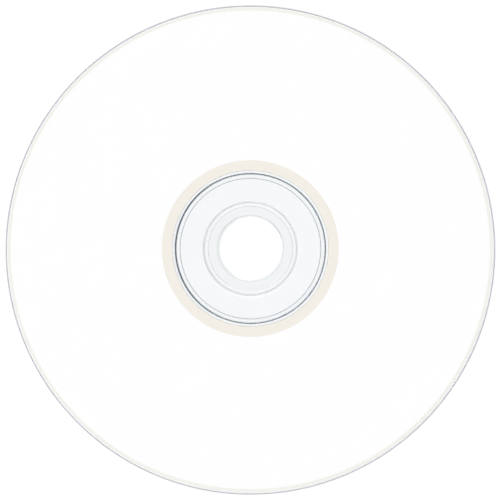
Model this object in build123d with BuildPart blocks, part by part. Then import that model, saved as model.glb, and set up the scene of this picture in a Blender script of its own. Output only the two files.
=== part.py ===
from build123d import *
from math import radians, tan
import os

os.makedirs("parts", exist_ok=True)

# A recordable compact disc that lies label side up on its stacking ring. Millimetres, +Z up.
# The origin is on the disc's axis, in the plane of the stacking ring's foot.
# What lies round the axis follows from the hole outwards, each width or gap from the one before it.

# Clear body, moulded in one piece
disc_diameter = 120.0
hole_diameter = 15.0
body_thickness = 1.2
ring_height = 0.2  # how far the stacking ring stands out of the read side

# Edge of the hole: eased on both sides, with a shallow step round it on the read side
read_bevel_width = 0.14
read_bevel_depth = 0.15
step_width = 0.51
step_depth = 0.054
step_slope = 0.07
label_bevel_width = 0.46
label_bevel_depth = 0.295

# Land round the hole, a little lower than the label side
land_width = 3.94
land_drop = 0.107
land_slope = 0.29

# Groove round the mould's centre insert, on the read side
insert_width = 2.16  # from the step to the groove
insert_groove_depth = 0.054
insert_groove_inner_slope = 0.05
insert_groove_floor = 0.18
insert_groove_outer_slope = 0.29

# Low ridge outside that groove
ridge_gap = 0.32
ridge_height = 0.115
ridge_inner_slope = 0.06
ridge_top = 0.25
ridge_outer_slope = 0.11

# Stacking ring on the read side, which keeps stacked discs apart. A steep groove parts its rounded inner
# foot from the flat outer one, and its inner wall gets steeper upwards.
clamp_width = 5.55  # flat zone between the ridge and the stacking ring, where a drive's hub clamps the disc
ring_inner_rise = 0.085  # height of the ring's steep inner edge
ring_inner_edge = 0.1
ring_inner_slope = 0.676
inner_foot = 0.181
groove_half_depth = 0.124
groove_inner_lower_tilt = 45.3  # degrees off the read side
groove_inner_upper_tilt = 48.4
groove_outer_tilt = 52.4
outer_foot = 0.63
ring_outer_slope = 0.5

# Groove of the stamper's holder, on the label side
holder_start_gap = 5.8  # flat zone between the land's slope and this groove
holder_inner_slope = 0.144
holder_floor = 0.38
holder_outer_slope = 0.209
holder_depth = 0.145

# Rim: a two-step bevel on the read side and a small one on the label side
rim_read_width = 0.26
rim_read_depth = 0.103
rim_corner_width = 0.233
rim_corner_depth = 0.256
rim_label_depth = 0.305
rim_label_width = 0.265

# Reflective film with its dye, on the label side of the clear body
film_gap = 0.38  # from the holder's groove to the film
film_edge_gap = 0.8  # from the film's outer edge to the disc's edge
film_thickness = 0.01

# Cream undercoat, set back from the film's inner edge and lapped over its outer edge
base_setback = 0.05
base_lap = 0.2
base_thickness = 0.02

# White printable coat, smaller than the undercoat all round
print_inner_setback = 2.5
print_outer_setback = 0.7
print_thickness = 0.02

# Heights that follow from the sizes above
read_z = ring_height
label_z = read_z + body_thickness
land_z = label_z - land_drop
step_z = read_z + step_depth
insert_z = read_z + insert_groove_depth
ridge_z = read_z - ridge_height
ring_edge_z = read_z - ring_inner_rise
holder_z = label_z - holder_depth
film_z = label_z + film_thickness
base_z = film_z + base_thickness
print_z = base_z + print_thickness

# Radii on the read side, from the hole outwards
disc_radius = disc_diameter / 2
hole_radius = hole_diameter / 2
bevel_r = hole_radius + read_bevel_width
step_r = bevel_r + step_width
insert_r = step_r + step_slope
insert_groove_r = insert_r + insert_width
insert_floor_r = insert_groove_r + insert_groove_inner_slope
insert_floor_end_r = insert_floor_r + insert_groove_floor
insert_end_r = insert_floor_end_r + insert_groove_outer_slope
ridge_r = insert_end_r + ridge_gap
ridge_top_r = ridge_r + ridge_inner_slope
ridge_top_end_r = ridge_top_r + ridge_top
ridge_end_r = ridge_top_end_r + ridge_outer_slope
ring_r = ridge_end_r + clamp_width
ring_edge_r = ring_r + ring_inner_edge
inner_foot_r = ring_edge_r + ring_inner_slope
groove_r = inner_foot_r + inner_foot
groove_middle_r = groove_r + groove_half_depth / tan(radians(groove_inner_lower_tilt))
groove_top_r = groove_middle_r + groove_half_depth / tan(radians(groove_inner_upper_tilt))
groove_top_z = 2 * groove_half_depth
outer_foot_r = groove_top_r + groove_top_z / tan(radians(groove_outer_tilt))
outer_foot_end_r = outer_foot_r + outer_foot
ring_end_r = outer_foot_end_r + ring_outer_slope

# Radii on the label side, from the hole outwards
land_r = hole_radius + label_bevel_width
land_end_r = land_r + land_width
label_r = land_end_r + land_slope
holder_r = label_r + holder_start_gap
holder_floor_r = holder_r + holder_inner_slope
holder_floor_end_r = holder_floor_r + holder_floor
holder_end_r = holder_floor_end_r + holder_outer_slope

# Radii of the rim and of the coats
rim_corner_r = disc_radius - rim_corner_width
rim_r = rim_corner_r - rim_read_width
film_inner_r = holder_end_r + film_gap
film_outer_r = disc_radius - film_edge_gap
base_inner_r = film_inner_r + base_setback
base_outer_r = film_outer_r + base_lap
print_inner_r = base_inner_r + print_inner_setback
print_outer_r = base_outer_r - print_outer_setback


# Clear body: half of its section, turned about the axis. The points run outwards along the read side
# and back along the label side.
with BuildPart() as substrate:
    with BuildSketch(Plane.XZ):
        with BuildLine():
            Polyline(
                (hole_radius, step_z + read_bevel_depth),
                (bevel_r, step_z),
                (step_r, step_z),
                (insert_r, read_z),
                (insert_groove_r, read_z),
                (insert_floor_r, insert_z),
                (insert_floor_end_r, insert_z),
                (insert_end_r, read_z),
                (ridge_r, read_z),
                (ridge_top_r, ridge_z),
                (ridge_top_end_r, ridge_z),
                (ridge_end_r, read_z),
                (ring_r, read_z),
                (ring_edge_r, ring_edge_z),
                (inner_foot_r, 0),
                (groove_r, 0),
                (groove_middle_r, groove_half_depth),
                (groove_top_r, groove_top_z),
                (outer_foot_r, 0),
                (outer_foot_end_r, 0),
                (ring_end_r, read_z),
                (rim_r, read_z),
                (rim_corner_r, read_z + rim_read_depth),
                (disc_radius, read_z + rim_read_depth + rim_corner_depth),
                (disc_radius, label_z - rim_label_depth),
                (disc_radius - rim_label_width, label_z),
                (holder_end_r, label_z),
                (holder_floor_end_r, holder_z),
                (holder_floor_r, holder_z),
                (holder_r, label_z),
                (label_r, label_z),
                (land_end_r, land_z),
                (land_r, land_z),
                (hole_radius, land_z - label_bevel_depth),
                close=True,
            )
        make_face()
    revolve(axis=Axis.Z)

substrate.part.label = "substrate"
export_step(substrate.part, "parts/substrate.step")


# Reflective film: a flat ring on the clear body
with BuildPart() as reflective_layer:
    with BuildSketch(Plane.XY.offset(label_z)):
        Circle(film_outer_r)
        Circle(film_inner_r, mode=Mode.SUBTRACT)
    extrude(amount=film_thickness)

reflective_layer.part.label = "reflective_layer"
export_step(reflective_layer.part, "parts/reflective_layer.step")


# Cream undercoat: it covers the film and is lapped down over its edge onto the clear body
with BuildPart() as base_coat:
    with BuildSketch(Plane.XZ):
        with BuildLine():
            Polyline(
                (base_inner_r, film_z),
                (film_outer_r, film_z),
                (film_outer_r, label_z),
                (base_outer_r, label_z),
                (base_outer_r, base_z),
                (base_inner_r, base_z),
                close=True,
            )
        make_face()
    revolve(axis=Axis.Z)

base_coat.part.label = "base_coat"
export_step(base_coat.part, "parts/base_coat.step")


# White printable coat: a flat ring on the undercoat
with BuildPart() as print_coat:
    with BuildSketch(Plane.XY.offset(base_z)):
        Circle(print_outer_r)
        Circle(print_inner_r, mode=Mode.SUBTRACT)
    extrude(amount=print_thickness)

print_coat.part.label = "print_coat"
export_step(print_coat.part, "parts/print_coat.step")
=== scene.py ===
import math

import bpy
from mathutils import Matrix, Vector


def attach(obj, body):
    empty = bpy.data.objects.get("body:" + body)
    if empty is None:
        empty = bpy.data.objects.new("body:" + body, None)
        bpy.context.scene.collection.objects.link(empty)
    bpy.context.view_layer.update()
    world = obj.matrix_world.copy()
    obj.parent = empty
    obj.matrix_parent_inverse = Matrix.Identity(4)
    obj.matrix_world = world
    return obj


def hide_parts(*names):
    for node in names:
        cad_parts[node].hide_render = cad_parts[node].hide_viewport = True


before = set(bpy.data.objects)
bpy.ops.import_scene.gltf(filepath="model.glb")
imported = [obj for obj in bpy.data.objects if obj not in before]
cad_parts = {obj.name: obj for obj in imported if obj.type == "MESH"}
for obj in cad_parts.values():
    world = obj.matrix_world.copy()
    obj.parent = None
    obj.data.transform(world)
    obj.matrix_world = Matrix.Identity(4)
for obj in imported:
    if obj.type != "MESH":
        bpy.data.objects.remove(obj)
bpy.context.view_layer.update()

# A recordable compact disc, label side up. Sizes are real ones: millimetres here, metres in the scene.
MM = 0.001
TURN_STEPS = 512  # steps of each turned piece, so that the rim stays round to a thousandth of a millimetre
SMOOTH_ANGLE = 2  # degrees: faces that meet at less are shaded as one
MERGE_DISTANCE = 1e-7  # metres

# Clear body, in millimetres. Its section is given by widths and depths, from the hole outwards.
DISC_R = 60.0
HOLE_R = 7.5
BODY_THICKNESS = 1.2
READ_Z = 0.2  # the read side, above the foot of the stacking ring
LABEL_Z = READ_Z + BODY_THICKNESS
READ_BEVEL, READ_BEVEL_DEPTH = 0.14, 0.15  # edge of the hole on the read side
STEP, STEP_SLOPE, STEP_DEPTH = 0.51, 0.07, 0.054  # shallow step round it
INSERT_GAP, INSERT_DEPTH = 2.16, 0.054  # groove round the mould's centre insert
INSERT_SLOPES, INSERT_FLOOR = (0.05, 0.29), 0.18
RIDGE_GAP, RIDGE_HEIGHT = 0.32, 0.115  # low ridge outside that groove
RIDGE_SLOPES, RIDGE_TOP = (0.06, 0.11), 0.25
CLAMP_GAP = 5.55  # flat zone that a drive clamps
RING_EDGE, RING_EDGE_HEIGHT, RING_SLOPE = 0.1, 0.085, 0.676  # inner side of the stacking ring
GRAINED_SLOPE = 0.3  # how much of that slope is unpolished, as the inner edge is
INNER_FOOT, OUTER_FOOT, RING_OUTER_SLOPE = 0.181, 0.63, 0.5
FOOT_GROOVE_HALF = 0.124  # half the depth of the groove in the ring's foot
FOOT_GROOVE_TILTS = (45.3, 48.4, 52.4)  # degrees: its inner wall low and high, and its outer wall
LABEL_BEVEL, LABEL_BEVEL_DEPTH = 0.46, 0.295  # edge of the hole on the label side
LAND, LAND_SLOPE, LAND_DROP = 3.94, 0.29, 0.107  # land round the hole
HOLDER_GAP, HOLDER_DEPTH = 5.8, 0.145  # groove of the stamper's holder
HOLDER_SLOPES, HOLDER_FLOOR = (0.144, 0.209), 0.38
RIM_READ, RIM_READ_DEPTH = 0.26, 0.103  # bevels of the rim
RIM_CORNER, RIM_CORNER_DEPTH = 0.233, 0.256
RIM_LABEL, RIM_LABEL_DEPTH = 0.265, 0.305

# Coats
FILM_GAP = 0.38  # from the holder's groove to the film
FILM_EDGE_GAP = 0.8  # from the film's outer edge to the disc's
BASE_SETBACK = 0.05  # from the film's inner edge to the undercoat
BASE_LAP = 0.2  # how far the undercoat laps over the film's outer edge
PRINT_SETBACKS = (2.5, 0.7)  # from the undercoat's inner and outer edges to the print coat
FILM_THICKNESS = 0.01
BASE_THICKNESS = 0.02
PRINT_THICKNESS = 0.02
SINK = 0.002  # a coat sits this deep in what it lies on, so that no two faces share a plane

# Where the mould wasn't polished, and a tint paints light or shade on the duller faces: the radii and the
# heights between which a face of the clear body has its middle when it is a duller one
RIDGE_FACES = (11.23, 11.7), (0.0, 0.5)
RING_EDGE_FACES = (17.1, 17.45), (0.0, 0.5)
FOOT_GROOVE_FACES = (18.1, 18.8), (0.0, 0.5)
HOLDER_FACES = (17.95, 18.75), (0.5, LABEL_Z)
RIM_WALL_FACES = (59.7, 60.1), (0.0, 1.05)
RIM_BEVEL_FACES = (59.7, 60.1), (1.05, LABEL_Z)

# Patterns, by how many of their units go to the millimetre. The real grain, turning marks and track are finer
# than the render can show, so they are drawn as coarse as this.
FINE_GRAIN = 5.0 / MM  # grains of 0.2 mm
COAT_GRAIN = 9.0 / MM  # grains of 0.11 mm
TURNING_MARKS = 0.7 / MM  # rings 0.45 mm apart, as a wave pattern has 3.2 of them to its unit
TRACK_BANDS = 2.0 / MM  # bands of half a millimetre
LACQUER_MOTTLE = 0.6 / MM  # blotches 1.7 mm across
COAT_MOTTLE = 0.25 / MM  # blotches 4 mm across

POLYCARBONATE_IOR = 1.585

# Radii where a finish changes
INSERT_EDGE = (10.35, 10.5)  # the zone of the mould's centre insert ends
LACQUER_THINS = (30, 58)  # the undercoat gets thinner

# Camera, nearly straight above: the photograph's own viewing angle
CAMERA_DISTANCE = 420.0
CAMERA_TILT = 2.6  # degrees off the disc's axis, towards -Y
FRAME_WIDTH = 122.46  # how much of the disc's plane the frame is wide
AIM = (-0.11, -0.4)  # the point of the disc's plane at the frame's centre
SENSOR = 36.0
NEAREST = 0.01  # metres: where the camera starts to see

# Floor
FLOOR_Z = -0.02  # a hair under the foot of the disc, so that no two faces share a plane
FLOOR_SIZE = 6.0  # metres
FLOOR_GLOW = 1.09
FLOOR_GLOW_SHARE = 0.87  # how much of what is seen of the floor is its glow; the rest keeps the shadow

# Light: levels of 1 show white. The studio is a ceiling, a wall, a broad band of light and a lower wall,
# each with the angles off the zenith, in degrees, between which it takes over from the one above.
CEILING = 0.36
STUDIO = (
    (8, 22, 0.3),
    (36, 44, 2.38),
    (70, 78, 0.8),
)
DARK_WALL = 0.05
DARK_WALL_EDGE = (0.375, 0.545)  # how far towards +X a heading points where the dark wall takes over
DIM_HUE = (0.75, 1.0, 1.12, 1)
BRIGHT_HUE = (1.04, 1.0, 0.985, 1)


def linear(hex_colour):
    """An sRGB hex value as the linear colour that a shader takes."""
    channels = [int(hex_colour[i:i + 2], 16) / 255 for i in (1, 3, 5)]
    return tuple(c / 12.92 if c <= 0.04045 else ((c + 0.055) / 1.055) ** 2.4 for c in channels) + (1.0,)


def add(tree, kind, settings=None, **links):
    """Adds a node, sets its own values and those of its sockets, and links outputs to its sockets.
    A socket is named by its name, or by its place after an underscore."""
    node = tree.nodes.new(kind)
    for name, value in (settings or {}).items():
        if isinstance(name, str) and hasattr(node, name) and name not in node.inputs:
            setattr(node, name, value)
        else:
            node.inputs[name].default_value = value
    for name, source in links.items():
        socket = int(name[1:]) if name[1:].isdigit() else name.replace("_", " ")
        tree.links.new(source, node.inputs[socket])
    return node


def new_material(name):
    material = bpy.data.materials.new(name)
    material.use_nodes = True
    material.node_tree.nodes.clear()
    return material, material.node_tree


def unpolished_with_painted_light(name, tint, roughness, clearness=1.0):
    """Polycarbonate from a part of the mould that was left as it was turned or etched: a fine grain softens
    what shows through. Its tint is painted light: a colour that stands in for the shade on these faces, and
    at the rim for the film seen through them."""
    material, tree = new_material(name)
    place = add(tree, "ShaderNodeTexCoord").outputs["Object"]
    grain = add(tree, "ShaderNodeTexNoise", {"Scale": FINE_GRAIN, "Detail": 2.0}, Vector=place).outputs[0]
    rough = add(tree, "ShaderNodeMapRange", {
        "To Min": roughness[0], "To Max": roughness[1]}, Value=grain).outputs[0]
    shader = add(tree, "ShaderNodeBsdfPrincipled", {
        "Base Color": linear(tint), "IOR": POLYCARBONATE_IOR, "Transmission Weight": clearness},
        Roughness=rough)
    add(tree, "ShaderNodeOutputMaterial", Surface=shader.outputs[0])
    return material


def outline(start, *steps):
    """The corners of an outline: each step goes across and up from the corner before it."""
    corners = [start]
    for across, up in steps:
        corners.append((corners[-1][0] + across, corners[-1][1] + up))
    return corners


def wall(height, tilt):
    """The step up a wall that is this high and tilted this many degrees."""
    return abs(height) / math.tan(math.radians(tilt)), height


def turned(name, section):
    """A piece turned about the disc's axis: its section is drawn by extruding a point from corner to
    corner, and is spun all the way round."""
    bpy.ops.object.select_all(action="DESELECT")
    start = Vector((section[0][0], 0, section[0][1])) * MM
    bpy.ops.mesh.primitive_plane_add(size=MM, location=start)
    piece = bpy.context.object
    bpy.ops.object.transform_apply(location=True, rotation=True, scale=True)
    bpy.ops.object.mode_set(mode="EDIT")
    bpy.ops.mesh.select_all(action="SELECT")
    bpy.ops.mesh.merge(type="CENTER")
    for (r0, z0), (r1, z1) in zip(section, section[1:] + section[:1]):
        step = Vector((r1 - r0, 0, z1 - z0)) * MM
        bpy.ops.mesh.extrude_vertices_move(TRANSFORM_OT_translate={"value": step})
    bpy.ops.mesh.select_all(action="SELECT")
    bpy.ops.mesh.remove_doubles(threshold=MERGE_DISTANCE)
    bpy.ops.mesh.spin(steps=TURN_STEPS, angle=math.tau, center=(0, 0, 0), axis=(0, 0, 1))
    bpy.ops.mesh.select_all(action="SELECT")
    bpy.ops.mesh.remove_doubles(threshold=MERGE_DISTANCE)
    bpy.ops.mesh.normals_make_consistent(inside=False)
    bpy.ops.object.mode_set(mode="OBJECT")
    bpy.ops.object.shade_smooth_by_angle(angle=math.radians(SMOOTH_ANGLE))
    piece.name = piece.data.name = name
    return piece


# Camera
aim = Vector((AIM[0], AIM[1], LABEL_Z)) * MM
tilt = math.radians(CAMERA_TILT)
away = Vector((0, -math.sin(tilt), math.cos(tilt)))
camera_data = bpy.data.cameras.new("camera")
camera_data.sensor_width = SENSOR
camera_data.lens = SENSOR * CAMERA_DISTANCE / FRAME_WIDTH
camera_data.clip_start = NEAREST
camera = bpy.data.objects.new("camera", camera_data)
camera.location = aim + away * CAMERA_DISTANCE * MM
camera.rotation_euler = (tilt, 0, 0)
bpy.context.scene.collection.objects.link(camera)
bpy.context.scene.camera = camera
bpy.context.scene.view_settings.view_transform = "Standard"


# Clear body: its section runs outwards along the read side and, from the hole again, along the label side
read_side = outline(
    (HOLE_R, READ_Z + STEP_DEPTH + READ_BEVEL_DEPTH),
    (READ_BEVEL, -READ_BEVEL_DEPTH), (STEP, 0), (STEP_SLOPE, -STEP_DEPTH),
    (INSERT_GAP, 0), (INSERT_SLOPES[0], INSERT_DEPTH), (INSERT_FLOOR, 0), (INSERT_SLOPES[1], -INSERT_DEPTH),
    (RIDGE_GAP, 0), (RIDGE_SLOPES[0], -RIDGE_HEIGHT), (RIDGE_TOP, 0), (RIDGE_SLOPES[1], RIDGE_HEIGHT),
    (CLAMP_GAP, 0), (RING_EDGE, -RING_EDGE_HEIGHT),
    (RING_SLOPE * GRAINED_SLOPE, (RING_EDGE_HEIGHT - READ_Z) * GRAINED_SLOPE),
    (RING_SLOPE * (1 - GRAINED_SLOPE), (RING_EDGE_HEIGHT - READ_Z) * (1 - GRAINED_SLOPE)), (INNER_FOOT, 0),
    wall(FOOT_GROOVE_HALF, FOOT_GROOVE_TILTS[0]), wall(FOOT_GROOVE_HALF, FOOT_GROOVE_TILTS[1]),
    wall(-2 * FOOT_GROOVE_HALF, FOOT_GROOVE_TILTS[2]), (OUTER_FOOT, 0), (RING_OUTER_SLOPE, READ_Z))
label_side = outline(
    (HOLE_R, LABEL_Z - LAND_DROP - LABEL_BEVEL_DEPTH),
    (LABEL_BEVEL, LABEL_BEVEL_DEPTH), (LAND, 0), (LAND_SLOPE, LAND_DROP),
    (HOLDER_GAP, 0), (HOLDER_SLOPES[0], -HOLDER_DEPTH), (HOLDER_FLOOR, 0), (HOLDER_SLOPES[1], HOLDER_DEPTH))
rim = outline(
    (DISC_R - RIM_CORNER - RIM_READ, READ_Z),
    (RIM_READ, RIM_READ_DEPTH), (RIM_CORNER, RIM_CORNER_DEPTH))
rim += [(DISC_R, LABEL_Z - RIM_LABEL_DEPTH), (DISC_R - RIM_LABEL, LABEL_Z)]
body = turned("clear_body", read_side + rim + label_side[::-1])

# Reflective film: a flat ring that starts outside the holder's groove
holder_end = label_side[-1][0]
film_inner = holder_end + FILM_GAP
film_outer = DISC_R - FILM_EDGE_GAP
film_z = LABEL_Z + FILM_THICKNESS
film = turned("mirror_film", [
    (film_inner, LABEL_Z - SINK), (film_outer, LABEL_Z - SINK), (film_outer, film_z), (film_inner, film_z)])

# Undercoat: it covers the film and is lapped down over its outer edge
base_inner = film_inner + BASE_SETBACK
base_outer = film_outer + BASE_LAP
base_z = film_z + BASE_THICKNESS
undercoat = turned("undercoat", [
    (base_inner, film_z - SINK), (film_outer - SINK, film_z - SINK), (film_outer - SINK, LABEL_Z - SINK),
    (base_outer, LABEL_Z - SINK), (base_outer, base_z), (base_inner, base_z)])

# Printable coat: a flat ring on the undercoat
print_inner = base_inner + PRINT_SETBACKS[0]
print_outer = base_outer - PRINT_SETBACKS[1]
print_z = base_z + PRINT_THICKNESS
print_coat = turned("printable_coat", [
    (print_inner, base_z - SINK), (print_outer, base_z - SINK),
    (print_outer, print_z), (print_inner, print_z)])


# Clear polycarbonate, injection moulded: glossy, hard and nearly colourless, with a faint cool tint. The
# zone that the mould's centre insert shaped is a touch greyer, with the insert's fine turning marks in it.
glass, tree = new_material("clear_polycarbonate")
place = add(tree, "ShaderNodeTexCoord").outputs["Object"]
flat = add(tree, "ShaderNodeVectorMath", {"operation": "MULTIPLY", 1: (1, 1, 0)}, _0=place).outputs[0]
radius = add(tree, "ShaderNodeVectorMath", {"operation": "LENGTH"}, _0=flat).outputs["Value"]
insert = add(tree, "ShaderNodeMapRange", {
    "interpolation_type": "SMOOTHSTEP", "From Min": INSERT_EDGE[0] * MM, "From Max": INSERT_EDGE[1] * MM,
    "To Min": 1.0, "To Max": 0.0}, Value=radius).outputs[0]
tint = add(tree, "ShaderNodeMix", {
    "data_type": "RGBA", 6: linear("#FDFEFF"), 7: linear("#F8FAFB")}, _0=insert).outputs[2]
marks = add(tree, "ShaderNodeTexWave", {
    "wave_type": "RINGS", "rings_direction": "Z", "Scale": TURNING_MARKS, "Distortion": 0.4,
    "Detail": 2.0, "Detail Scale": 1.5}, Vector=place).outputs["Fac"]
marks = add(tree, "ShaderNodeMath", {"operation": "MULTIPLY"}, _0=marks, _1=insert).outputs[0]
relief = add(tree, "ShaderNodeBump", {"Strength": 0.3, "Distance": 0.0004 * MM}, Height=marks).outputs[0]
shader = add(tree, "ShaderNodeBsdfPrincipled", {
    "Roughness": 0.0, "IOR": POLYCARBONATE_IOR, "Transmission Weight": 1.0}, Base_Color=tint, Normal=relief)
add(tree, "ShaderNodeOutputMaterial", Surface=shader.outputs[0])

# The inner edge of the stacking ring and the groove in its foot, the coarser ridge, and the groove of the
# stamper's holder, which is nearly bright. Their greyer tints are painted shade that darkens these rings.
grained_painted_shade = unpolished_with_painted_light("unpolished_polycarbonate_painted_shade", "#E3EEF4", (0.15, 0.25))
coarse_painted_shade = unpolished_with_painted_light("turned_polycarbonate_painted_shade", "#DCE6EC", (0.27, 0.45))
embossed_painted_shade = unpolished_with_painted_light("embossed_polycarbonate_painted_shade", "#E0ECF3", (0.048, 0.08))

# The rim, where the mould parts: finely frosted. Its lavender-grey colour is painted light: it stands in for
# the film seen through the edge and for the edge's shade. Its wall lets less light through than its bevel on
# the label side.
frosted_wall_painted_light = unpolished_with_painted_light("frosted_polycarbonate_painted_light", "#D7D4E6", (0.27, 0.45), clearness=0.65)
frosted_bevel_painted_light = unpolished_with_painted_light("etched_polycarbonate_painted_light", "#D7D4E6", (0.27, 0.45))

# Silver alloy film over the dye: a mirror with a lavender cast. The faint colours that its fine circular
# track spreads light into are a painted reflection: a fixed rainbow in its colour, which changes from one
# direction round the disc to the next.
mirror, tree = new_material("silver_film")
place = add(tree, "ShaderNodeTexCoord").outputs["Object"]
round_about = add(tree, "ShaderNodeTexGradient", {"gradient_type": "RADIAL"}, Vector=place).outputs["Fac"]
painted_rainbow_fans = add(tree, "ShaderNodeMath", {"operation": "MULTIPLY", 1: 2.0}, _0=round_about).outputs[0]
painted_rainbow_fans = add(tree, "ShaderNodeMath", {"operation": "FRACT"}, _0=painted_rainbow_fans).outputs[0]
# Painted reflection: the rainbow's colours are fixed round the disc and stand in for the light that the track
# spreads
painted_rainbow = add(tree, "ShaderNodeValToRGB", _0=painted_rainbow_fans)
stops = painted_rainbow.color_ramp.elements
stops[0].color = stops[1].color = linear("#CFCCD8")
for position, colour in (
    (0.14, "#CFCCD8"), (0.22, "#C9C2DC"), (0.28, "#BFD2DE"), (0.34, "#C6DDC6"), (0.40, "#DEDDB8"),
    (0.46, "#E2C8B8"), (0.52, "#DCC0CC"), (0.62, "#CFCCD8"),
):
    stops.new(position).color = linear(colour)
flat = add(tree, "ShaderNodeVectorMath", {"operation": "MULTIPLY", 1: (1, 1, 0)}, _0=place).outputs[0]
radius = add(tree, "ShaderNodeVectorMath", {"operation": "LENGTH"}, _0=flat).outputs["Value"]
track = add(tree, "ShaderNodeTexNoise", {
    "noise_dimensions": "1D", "Scale": TRACK_BANDS, "Detail": 4.0, "Roughness": 0.7}, W=radius).outputs[0]
rough = add(tree, "ShaderNodeMapRange", {"To Min": 0.08, "To Max": 0.16}, Value=track).outputs[0]
shader = add(tree, "ShaderNodeBsdfPrincipled", {
    "Metallic": 1.0, "Anisotropic": 0.7}, Base_Color=painted_rainbow.outputs[0], Roughness=rough)
add(tree, "ShaderNodeOutputMaterial", Surface=shader.outputs[0])

# Cream lacquer, screen printed: satin, thinner and so paler towards the rim, with a faint mottle
cream, tree = new_material("cream_lacquer")
place = add(tree, "ShaderNodeTexCoord").outputs["Object"]
flat = add(tree, "ShaderNodeVectorMath", {"operation": "MULTIPLY", 1: (1, 1, 0)}, _0=place).outputs[0]
radius = add(tree, "ShaderNodeVectorMath", {"operation": "LENGTH"}, _0=flat).outputs["Value"]
thin = add(tree, "ShaderNodeMapRange", {
    "From Min": LACQUER_THINS[0] * MM, "From Max": LACQUER_THINS[1] * MM}, Value=radius).outputs[0]
tint = add(tree, "ShaderNodeMix", {
    "data_type": "RGBA", 6: linear("#F2EFE6"), 7: linear("#F3F2ED")}, _0=thin).outputs[2]
mottle = add(tree, "ShaderNodeTexNoise", {"Scale": LACQUER_MOTTLE, "Detail": 3.0}, Vector=place).outputs[0]
mottle = add(tree, "ShaderNodeMapRange", {"To Min": 0.985, "To Max": 1.015}, Value=mottle).outputs[0]
tint = add(tree, "ShaderNodeVectorMath", {"operation": "SCALE"}, _0=tint, Scale=mottle).outputs[0]
grain = add(tree, "ShaderNodeTexNoise", {"Scale": FINE_GRAIN, "Detail": 2.0}, Vector=place).outputs[0]
relief = add(tree, "ShaderNodeBump", {"Strength": 0.5, "Distance": 0.002 * MM}, Height=grain).outputs[0]
shader = add(tree, "ShaderNodeBsdfPrincipled", {"Roughness": 0.45}, Base_Color=tint, Normal=relief)
add(tree, "ShaderNodeOutputMaterial", Surface=shader.outputs[0])

# White printable coat: matt and fine grained, with the faint unevenness of a screen print
white, tree = new_material("ink_receptive_coat")
place = add(tree, "ShaderNodeTexCoord").outputs["Object"]
mottle = add(tree, "ShaderNodeTexNoise", {"Scale": COAT_MOTTLE, "Detail": 4.0}, Vector=place).outputs[0]
tint = add(tree, "ShaderNodeMix", {
    "data_type": "RGBA", 6: linear("#FBFCFD"), 7: linear("#FDFEFF")}, _0=mottle).outputs[2]
rough = add(tree, "ShaderNodeMapRange", {"To Min": 0.68, "To Max": 0.8}, Value=mottle).outputs[0]
grain = add(tree, "ShaderNodeTexNoise", {
    "Scale": COAT_GRAIN, "Detail": 3.0, "Roughness": 0.6}, Vector=place).outputs[0]
relief = add(tree, "ShaderNodeBump", {"Strength": 0.6, "Distance": 0.006 * MM}, Height=grain).outputs[0]
shader = add(tree, "ShaderNodeBsdfPrincipled", {
    "Specular IOR Level": 0.2}, Base_Color=tint, Roughness=rough, Normal=relief)
add(tree, "ShaderNodeOutputMaterial", Surface=shader.outputs[0])

for piece, material, node, slot in (
    (body, glass, "substrate", "clear_polycarbonate"),
    (film, mirror, "reflective_layer", "mirror_film"),
    (undercoat, cream, "base_coat", "cream_undercoat"),
    (print_coat, white, "print_coat", "white_print_coat"),
):
    piece.data.materials.append(material)
    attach(piece, "root")
    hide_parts(node)

# The faces of the clear body that are duller, and that carry painted light in their tint
for material, ((inner, outer), (low, high)) in (
    (coarse_painted_shade, RIDGE_FACES),
    (grained_painted_shade, RING_EDGE_FACES),
    (grained_painted_shade, FOOT_GROOVE_FACES),
    (embossed_painted_shade, HOLDER_FACES),
    (frosted_wall_painted_light, RIM_WALL_FACES),
    (frosted_bevel_painted_light, RIM_BEVEL_FACES),
):
    if material.name not in body.data.materials:
        body.data.materials.append(material)
    for face in body.data.polygons:
        if inner < face.center.xy.length / MM < outer and low < face.center.z / MM < high:
            face.material_index = body.data.materials.find(material.name)

# Floor: white paper that keeps the disc's shadow and shows itself a little brighter than it is lit. From
# below it is clear, so that the read side can be seen.
bpy.ops.mesh.primitive_plane_add(size=FLOOR_SIZE, location=(0, 0, FLOOR_Z * MM))
floor = bpy.context.object
floor.name = "floor"
floor_material, tree = new_material("white_floor")
path = add(tree, "ShaderNodeLightPath")
seen = add(tree, "ShaderNodeMath", {"operation": "ADD"}, _0=path.outputs["Is Camera Ray"],
           _1=path.outputs["Is Glossy Ray"])
seen = add(tree, "ShaderNodeMath", {"operation": "ADD", "use_clamp": True}, _0=seen.outputs[0],
           _1=path.outputs["Is Transmission Ray"])
share = add(tree, "ShaderNodeMath", {"operation": "MULTIPLY", 1: FLOOR_GLOW_SHARE}, _0=seen.outputs[0])
lit = add(tree, "ShaderNodeBsdfDiffuse", {"Color": linear("#F4F4F4")})
glow = add(tree, "ShaderNodeEmission", {"Color": (1, 1, 1, 1), "Strength": FLOOR_GLOW})
mixed = add(tree, "ShaderNodeMixShader", Fac=share.outputs[0], _1=lit.outputs[0], _2=glow.outputs[0])
clear = add(tree, "ShaderNodeBsdfTransparent")
side = add(tree, "ShaderNodeNewGeometry")
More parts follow.
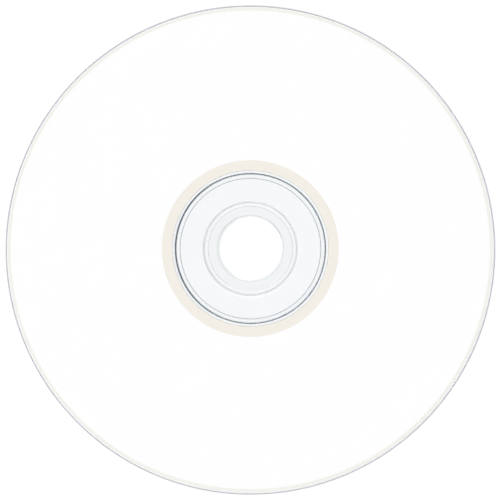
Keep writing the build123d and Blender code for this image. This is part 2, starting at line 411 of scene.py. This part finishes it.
mixed = add(tree, "ShaderNodeMixShader", Fac=side.outputs["Backfacing"], _1=mixed.outputs[0],
            _2=clear.outputs[0])
add(tree, "ShaderNodeOutputMaterial", Surface=mixed.outputs[0])
floor.data.materials.append(floor_material)

# Studio: the dim levels are bluish and the bright ones white, and there is a dark wall on the +X side. What
# lies below the horizon is lit as what lies above it. Seen directly, the studio is a plain white backdrop.
world = bpy.data.worlds.new("studio")
bpy.context.scene.world = world
world.use_nodes = True
tree = world.node_tree
tree.nodes.clear()
heading = add(tree, "ShaderNodeTexCoord").outputs["Generated"]
axes = add(tree, "ShaderNodeSeparateXYZ", Vector=heading)
height = add(tree, "ShaderNodeMath", {"operation": "ABSOLUTE"}, _0=axes.outputs["Z"]).outputs[0]
off_zenith = add(tree, "ShaderNodeMath", {"operation": "ARCCOSINE"}, _0=height).outputs[0]
light = add(tree, "ShaderNodeValue")
light.outputs[0].default_value = CEILING
light = light.outputs[0]
for low, high, level in STUDIO:
    light = add(tree, "ShaderNodeMapRange", {
        "interpolation_type": "SMOOTHSTEP", "From Min": math.radians(low), "From Max": math.radians(high),
        "To Max": level}, Value=off_zenith, To_Min=light).outputs[0]
dark = add(tree, "ShaderNodeMath", {"operation": "MINIMUM", 1: DARK_WALL}, _0=light).outputs[0]
light = add(tree, "ShaderNodeMapRange", {
    "interpolation_type": "SMOOTHSTEP", "From Min": DARK_WALL_EDGE[0], "From Max": DARK_WALL_EDGE[1]},
    Value=axes.outputs["X"], To_Min=light, To_Max=dark).outputs[0]
hue = add(tree, "ShaderNodeMix", {
    "data_type": "RGBA", 6: DIM_HUE, 7: BRIGHT_HUE}, _0=light).outputs[2]
seen = add(tree, "ShaderNodeLightPath").outputs["Is Camera Ray"]
light = add(tree, "ShaderNodeMapRange", {"To Max": 1.0}, Value=seen, To_Min=light).outputs[0]
hue = add(tree, "ShaderNodeMix", {"data_type": "RGBA", 7: (1, 1, 1, 1)}, _0=seen, _6=hue).outputs[2]
sky = add(tree, "ShaderNodeBackground", Color=hue, Strength=light)
add(tree, "ShaderNodeOutputWorld", Surface=sky.outputs[0])
